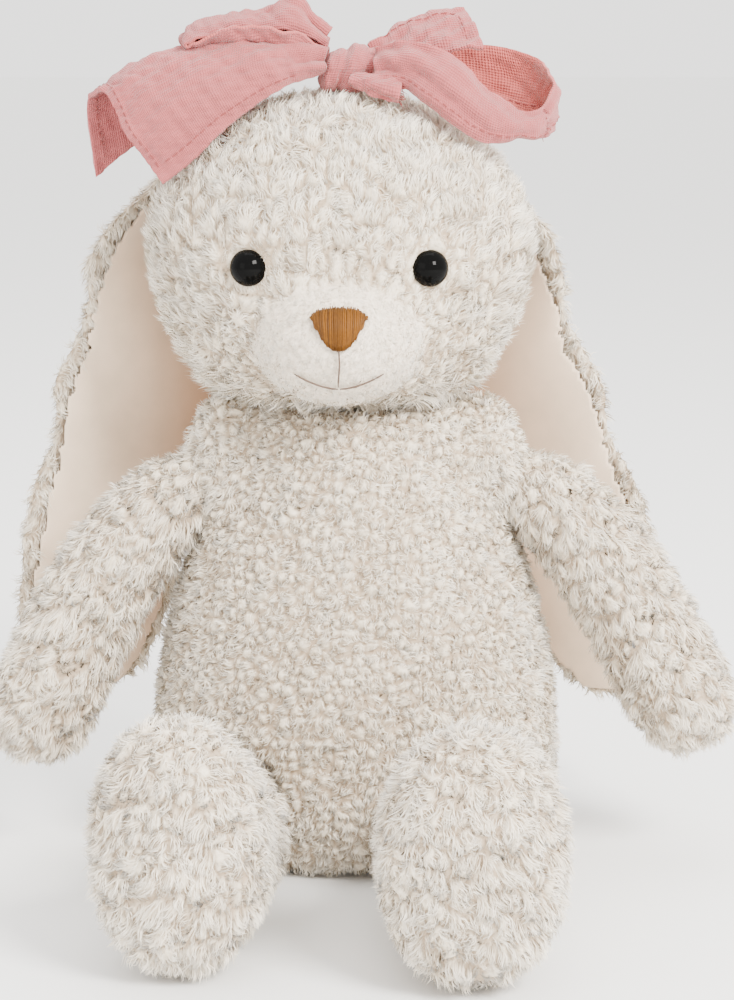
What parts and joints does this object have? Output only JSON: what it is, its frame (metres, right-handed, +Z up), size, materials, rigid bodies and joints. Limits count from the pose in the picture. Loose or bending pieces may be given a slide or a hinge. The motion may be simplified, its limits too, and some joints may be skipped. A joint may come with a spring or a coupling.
{
  "type": "stuffed bunny rabbit",
  "caption": "Sitting plush bunny rabbit with long hanging lined ears, embroidered nose, jointed limbs and a tied fabric bow on its head.",
  "frame": {"origin": "middle of the flat seat under the torso, on the surface it sits on", "axes": "+Z up; the bunny faces -Y; its own left side is at +X"},
  "size_m": [0.2579, 0.2599, 0.2914],
  "materials": {
    "fur": "long curly ivory pile over a tan backing",
    "muzzle_fleece": "short sheared fleece",
    "ear_velour": "smooth cream velour",
    "stuffing": "polyester fibre",
    "pouch_cloth": "plain woven lining cloth",
    "bean_plastic": "small round pellets",
    "seam_thread": "twisted thread",
    "eye_plastic": "polished black",
    "washer_plastic": "moulded",
    "nose_thread": "satin stitch",
    "mouth_thread": "single stitches",
    "bow_gauze": "crinkled doubled cotton gauze"
  },
  "bodies": {
    "torso": {"torso_front": "fur", "torso_back_left": "fur", "torso_back_right": "fur", "torso_base": "fur", "torso_stuffing": "stuffing", "bean_pouch": "pouch_cloth", "bean_pellets": "bean_plastic"},
    "tail": {"tail_root": "fur", "tail_skin": "fur", "tail_stuffing": "stuffing"},
    "neck_plug": {"neck_wad": "stuffing"},
    "neck_band": {"neck_thread": "seam_thread"},
    "head": {"head_gusset": "fur", "head_side_left": "fur", "head_side_right": "fur", "muzzle_panel": "muzzle_fleece", "head_stuffing": "stuffing", "eye_left": "eye_plastic", "eye_right": "eye_plastic", "eye_washers": "washer_plastic", "nose_embroidery": "nose_thread", "mouth_stitches": "mouth_thread", "bow_knot": "bow_gauze"},
    "bow_left": {"bow_loop_left": "bow_gauze", "bow_tail_left": "bow_gauze", "bow_short_end": "bow_gauze"},
    "bow_right": {"bow_loop_right": "bow_gauze", "bow_tail_right": "bow_gauze"},
    "ear_left": {"ear_left_plush": "fur", "ear_left_lining": "ear_velour"},
    "shoulder_left": {"shoulder_wad_left": "stuffing"},
    "arm_left": {"arm_left_front": "fur", "arm_left_back": "fur", "arm_left_stuffing": "stuffing"},
    "hip_left": {"hip_wad_left": "stuffing"},
    "leg_left": {"leg_left_outer": "fur", "leg_left_inner": "fur", "foot_left_sole": "fur", "leg_left_stuffing": "stuffing"},
    "ear_right": {"ear_right_plush": "fur", "ear_right_lining": "ear_velour"},
    "shoulder_right": {"shoulder_wad_right": "stuffing"},
    "arm_right": {"arm_right_front": "fur", "arm_right_back": "fur", "arm_right_stuffing": "stuffing"},
    "hip_right": {"hip_wad_right": "stuffing"},
    "leg_right": {"leg_right_outer": "fur", "leg_right_inner": "fur", "foot_right_sole": "fur", "leg_right_stuffing": "stuffing"}
  },
  "joints": [
    {"name": "neck_turn", "type": "hinge", "parent": "torso", "child": "neck_plug", "pos_m": [-0.003, 0.002, 0.155], "axis": [0, 0, 1], "range_deg": [-12, 12]},
    {"name": "neck_nod", "type": "hinge", "parent": "neck_plug", "child": "neck_band", "pos_m": [-0.003, 0.002, 0.155], "axis": [1, 0, 0], "range_deg": [-6, 10]},
    {"name": "neck_tilt", "type": "hinge", "parent": "neck_band", "child": "head", "pos_m": [-0.003, 0.002, 0.155], "axis": [0, 1, 0], "range_deg": [-6, 6]},
    {"name": "shoulder_left_lift", "type": "hinge", "parent": "torso", "child": "shoulder_left", "pos_m": [0.043, -0.005, 0.1325], "axis": [0, -1, 0], "range_deg": [0, 50]},
    {"name": "shoulder_left_swing", "type": "hinge", "parent": "shoulder_left", "child": "arm_left", "pos_m": [0.043, -0.005, 0.1325], "axis": [-1, 0, 0], "range_deg": [0, 70]},
    {"name": "hip_left_raise", "type": "hinge", "parent": "torso", "child": "hip_left", "pos_m": [0.038, -0.045, 0.03], "axis": [-1, 0, 0], "range_deg": [0, 33]},
    {"name": "hip_left_splay", "type": "hinge", "parent": "hip_left", "child": "leg_left", "pos_m": [0.038, -0.045, 0.03], "axis": [0, 0, 1], "range_deg": [-4, 22]},
    {"name": "ear_left_lift", "type": "hinge", "parent": "head", "child": "ear_left", "pos_m": [0.05, 0.022, 0.241], "axis": [0, 1, 0], "range_deg": [-85, 0]},
    {"name": "shoulder_right_lift", "type": "hinge", "parent": "torso", "child": "shoulder_right", "pos_m": [-0.043, -0.005, 0.1325], "axis": [0, 1, 0], "range_deg": [0, 50]},
    {"name": "shoulder_right_swing", "type": "hinge", "parent": "shoulder_right", "child": "arm_right", "pos_m": [-0.043, -0.005, 0.1325], "axis": [-1, 0, 0], "range_deg": [0, 70]},
    {"name": "hip_right_raise", "type": "hinge", "parent": "torso", "child": "hip_right", "pos_m": [-0.04, -0.045, 0.03], "axis": [-1, 0, 0], "range_deg": [0, 33]},
    {"name": "hip_right_splay", "type": "hinge", "parent": "hip_right", "child": "leg_right", "pos_m": [-0.04, -0.045, 0.03], "axis": [0, 0, -1], "range_deg": [-4, 22]},
    {"name": "ear_right_lift", "type": "hinge", "parent": "head", "child": "ear_right", "pos_m": [-0.06, 0.022, 0.241], "axis": [0, -1, 0], "range_deg": [-85, 0]},
    {"name": "bow_left_lift", "type": "hinge", "parent": "head", "child": "bow_left", "pos_m": [0.005, -0.008, 0.271], "axis": [0, -1, 0], "range_deg": [0, 30]},
    {"name": "bow_right_lift", "type": "hinge", "parent": "head", "child": "bow_right", "pos_m": [-0.009, -0.008, 0.271], "axis": [0, 1, 0], "range_deg": [0, 30]},
    {"name": "tail_wag", "type": "hinge", "parent": "torso", "child": "tail", "pos_m": [0, 0.053, 0.034], "axis": [0, 0, 1], "range_deg": [-10, 10]}
  ]
}
